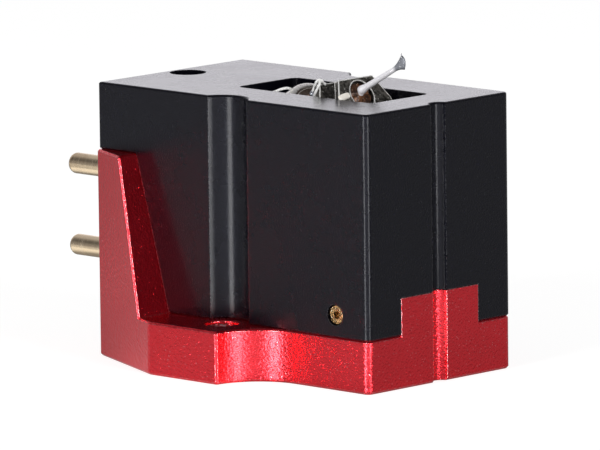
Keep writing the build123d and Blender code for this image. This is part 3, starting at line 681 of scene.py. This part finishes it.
def routePoints(controls, steps=10):
    # smooth line along a route: its points are the controls of an open NURBS curve
    curve = bpy.data.curves.new("route", "CURVE")
    curve.dimensions = "3D"
    spline = curve.splines.new("NURBS")
    spline.points.add(len(controls) - 1)
    spline.points.foreach_set("co", np.column_stack((controls, np.ones(len(controls)))).ravel())
    spline.order_u = 3
    spline.use_endpoint_u = True
    spline.resolution_u = steps
    holder = bpy.data.objects.new("route", curve)
    line = bpy.data.meshes.new_from_object(holder)
    flat = np.empty(len(line.vertices) * 3)
    line.vertices.foreach_get("co", flat)
    bpy.data.objects.remove(holder)
    bpy.data.curves.remove(curve)
    bpy.data.meshes.remove(line)
    return flat.reshape(-1, 3)


def strand(controls, radius, around=14, swell=0.0):
    # circle carried along the route, square to it, with a slow swell and flat ends
    line = routePoints(np.array(controls, float))
    tangent = np.gradient(line, axis=0)
    tangent /= np.linalg.norm(tangent, axis=1, keepdims=True)
    side = np.cross(tangent, (0.31, 0.93, 0.19))
    side /= np.linalg.norm(side, axis=1, keepdims=True)
    over = np.cross(tangent, side)
    share = np.linspace(0, 1, len(line))
    wide = radius * (1 + swell * np.sin(13 * share) * np.sin(29 * share))
    phi = fullTurn(around)[..., None]
    ring = np.cos(phi) * side[:, None] + np.sin(phi) * over[:, None]
    return capped(line[:, None] + wide[:, None, None] * ring)


# leads from the pins' tails up to the strip, on the solids' routes
leads = {"radius": 0.13, "swell": 0.05, "around": 16, "tailX": -4.4, "run": 0.9, "riseX": -2.0515,
         "stripX": -1.5115, "apexZ": 14.3997, "stripZ": 13.5097, "spacing": 0.8,
         "pinY": 2.75, "highZ": 9.99, "lowZ": 5.38}


def pinLeads():
    # each lead: its pin's side and height, and its hole in the strip, counted from the middle
    ends = {"left_signal": (-1, "highZ", -1.5), "left_ground": (-1, "lowZ", -0.5),
            "right_signal": (1, "highZ", 1.5), "right_ground": (1, "lowZ", 0.5)}
    tailX, riseX, stripX, apexZ, run = (leads[k] for k in ("tailX", "riseX", "stripX", "apexZ", "run"))
    for name, (side, height, hole) in ends.items():
        y, z, across = side * leads["pinY"], leads[height], hole * leads["spacing"]
        route = [(tailX, y, z), (tailX + run, y, z), (riseX, across, apexZ - 2 * run),
                 (riseX, across, apexZ), (stripX, across, apexZ), (stripX, across, leads["stripZ"])]
        grid = strand(route, leads["radius"], leads["around"], leads["swell"])
        addPiece("lead_" + name + "_sleeve", [grid], "pickup_body", sleeve, ("lead_" + name,))


# plated rim of the magnet: a broad bevel round the face, carried back along the side and thinning out below
rim = {"face": -3.49, "side": -3.84, "sideStep": 0.05, "back": -5.50, "inner": 2.10, "outer": 2.39,
       "thinFrom": 0.72, "thinOver": 0.5, "thinnest": 0.08, "around": 144}


def magnetRim():
    # turned about the arm: profile from the face's edge over a quarter wave to the side, then straight
    # back and closed inside
    phi = fullTurn(rim["around"])
    full = smooth((np.cos(phi) + rim["thinFrom"]) / rim["thinOver"])
    full = rim["thinnest"] + (1 - rim["thinnest"]) * full
    s = np.linspace(0, 1, 14)[:, None]
    bevel = rim["face"] + (rim["side"] - rim["face"]) * s ** 1.5
    straight = np.linspace(rim["side"] - rim["sideStep"], rim["back"], 8)[:, None]
    along = np.concatenate((bevel, straight, [[rim["back"]], [rim["face"]]]))
    lift = np.concatenate((np.sin(s * np.pi / 2) ** 0.8, np.ones_like(straight), [[0.0], [0.0]]))
    radius = rim["inner"] + (rim["outer"] - rim["inner"]) * lift * full
    grid = armPoints(along + 0 * phi, radius * np.cos(phi), radius * np.sin(phi))
    addPiece("magnetRim", [grid], "pickup_body", plated)


# thin coil wires: one over the magnet, a hook over the rear pole with a second strand beside it, and a tail
# from their solder blob; over has the part's own places, the other routes are in the arm's frame
coilWires = {
    "radius": 0.075, "hookRadius": 0.085, "around": 14, "swell": 0.12, "tailSwell": 0.1,
    "over": [(-1.42, -0.8, 13.74), (-1.55, -1.2, 14.6), (-0.9, -1.9, 14.95), (-0.03, -1.95, 15.24),
             (0.22, -1.6, 15.40), (0.42, -1.25, 15.44), (0.44, -1.02, 15.30)],
    "hook": [(-2.03, 1.10, -1.44), (-1.85, 1.34, -1.42), (-1.62, 1.50, -1.38), (-1.42, 1.62, -1.32),
             (-1.28, 1.56, -1.22), (-1.34, 1.38, -1.10), (-1.34, 1.28, -0.95)],
    "doubled": [(-1.30, 1.52, -1.30), (-1.30, 1.36, -1.42), (-1.44, 1.20, -1.52), (-1.72, 1.05, -1.55),
                (-1.95, 0.92, -1.50)],
    "tail": [(-2.02, 1.06, -1.48), (-2.22, 1.12, -1.62), (-2.5, 1.08, -1.85), (-2.9, 0.6, -2.0)],
    "blob": (-2.02, 1.04, -1.42), "blobSize": (0.20, 0.26, 0.22),
}


def coilLeads():
    hook, doubled, tail = (armPoints(*np.array(coilWires[k]).T) for k in ("hook", "doubled", "tail"))
    radius, around, swell = coilWires["radius"], coilWires["around"], coilWires["swell"]
    wires = [strand(coilWires["over"], radius, around), strand(hook, coilWires["hookRadius"], around, swell),
             strand(doubled, radius, around, swell)]
    addPiece("coilWires", wires, "pickup_body", sleeve)
    end = strand(tail, radius, around, coilWires["tailSwell"])
    addPiece("coilWireTail", [end], "pickup_body", copper)
    # blob: sphere with slow waves in its radius
    theta = np.linspace(0, np.pi, 22)[:, None]
    phi = fullTurn(32)
    wave = 1 + 0.10 * np.sin(3 * phi + 1.0) * np.sin(theta) ** 2 + 0.08 * np.cos(5 * theta)
    girth = wave * np.sin(theta)
    wide, tall, deep = coilWires["blobSize"]
    a0, t0, y0 = coilWires["blob"]
    grid = armPoints(a0 + wide * girth * np.cos(phi), t0 + tall * wave * np.cos(theta),
                     y0 + deep * girth * np.sin(phi))
    addPiece("coilWireSolder", [grid], "pickup_body", solder)


# solder domes where the leads enter the strip and leave the pins
joints = {"stripR": 0.24, "stripH": 0.26, "stripAt": (-6.2, 1.8, 0.0), "stripSink": 0.04,
          "tailR": 0.34, "tailH": 0.42, "tailX": -4.42}


def dome(centre, axis, radius, height, around=24):
    # bell profile turned about the axis: wide foot, hollow flank, rounded crown
    s = np.linspace(0, 1, 16)[:, None, None]
    phi = fullTurn(around)[..., None]
    wide = radius * (1 - s ** 1.6) ** 0.9
    rise = height * np.sin(s * np.pi / 2) ** 1.3
    axis = np.array(axis, float)
    first = np.cross(axis, (0.2, 0.3, 0.93))
    first /= np.linalg.norm(first)
    second = np.cross(axis, first)
    return capped(np.array(centre, float) + rise * axis + wide * (np.cos(phi) * first + np.sin(phi) * second))


def solderDomes():
    stripTop = armPoints(*joints["stripAt"])
    onStrip = [dome(stripTop + (0, hole * leads["spacing"], -joints["stripSink"]), armUp,
                    joints["stripR"], joints["stripH"]) for hole in (-1.5, -0.5, 0.5, 1.5)]
    onTails = [dome((joints["tailX"], side * leads["pinY"], leads[height]), (1, 0, 0),
                    joints["tailR"], joints["tailH"]) for side in (-1, 1) for height in ("highZ", "lowZ")]
    addPiece("leadSolder", onStrip + onTails, "pickup_body", solder)


# screw thread in each mounting hole
thread = {"holeY": 6.35, "wall": 0.985, "depth": 0.13, "pitch": 0.45, "low": 0.20, "high": 2.74,
          "fade": 0.15, "skin": 0.02, "around": 72, "rows": 90}


def holeThreads():
    # ring round the hole: its outer wall is plain, its inner wall is a cosine wave that climbs
    # one pitch each turn
    theta = fullTurn(thread["around"])
    z = np.linspace(thread["low"], thread["high"], thread["rows"])[:, None]
    fade = np.clip((z - thread["low"]) / thread["fade"], 0, 1)
    fade = fade * np.clip((thread["high"] - z) / thread["fade"], 0, 1)
    crest = (0.5 + 0.5 * np.cos(2 * np.pi * z / thread["pitch"] - theta)) ** 1.4
    inner = thread["wall"] - thread["skin"] - thread["depth"] * crest * fade
    radius = np.concatenate((inner, np.full((2, thread["around"]), thread["wall"]), inner[:1]))
    height = np.concatenate((z, [[thread["high"]], [thread["low"]]], z[:1]))
    height, radius = np.broadcast_arrays(height, radius)
    for name, y in {"holeThreadNear": -thread["holeY"], "holeThreadFar": thread["holeY"]}.items():
        grid = np.stack((radius * np.cos(theta), y + radius * np.sin(theta), height), -1)
        addPiece(name, [grid], "pickup_body", red)


# cast resin pad on the yoke's front, beside the opening
pad = {"middle": (-1.43, -0.07), "half": (0.47, 0.185), "slant": 9.0, "thick": 0.10, "sunk": 0.01}


def resinPad():
    # pillow: rounded rectangle of the fourth power, thick in the middle, closing to the face at its edge
    s = np.linspace(0, 1, 14)[:, None]
    phi = fullTurn(64)
    round4 = (np.cos(phi) ** 4 + np.sin(phi) ** 4) ** -0.25
    dx, dy = s * pad["half"][0] * round4 * np.cos(phi), s * pad["half"][1] * round4 * np.sin(phi)
    slant = math.radians(pad["slant"])
    across = pad["middle"][0] + dx * math.cos(slant) - dy * math.sin(slant)
    up = pad["middle"][1] + dx * math.sin(slant) + dy * math.cos(slant)
    top = armPoints(pad["thick"] * (1 - s ** 4) ** 0.5 + 0 * phi, up, across)
    under = armPoints(np.full_like(up, -pad["sunk"]), up, across)[::-1]
    addPiece("resinPad", [np.concatenate((top, under))], "pickup_body", resin)


armTube()
armatureWinding()
magnetRim()
print("stylus arm built")
pinLeads()
coilLeads()
solderDomes()
print("leads built")
holeThreads()
resinPad()
print("small pieces built")
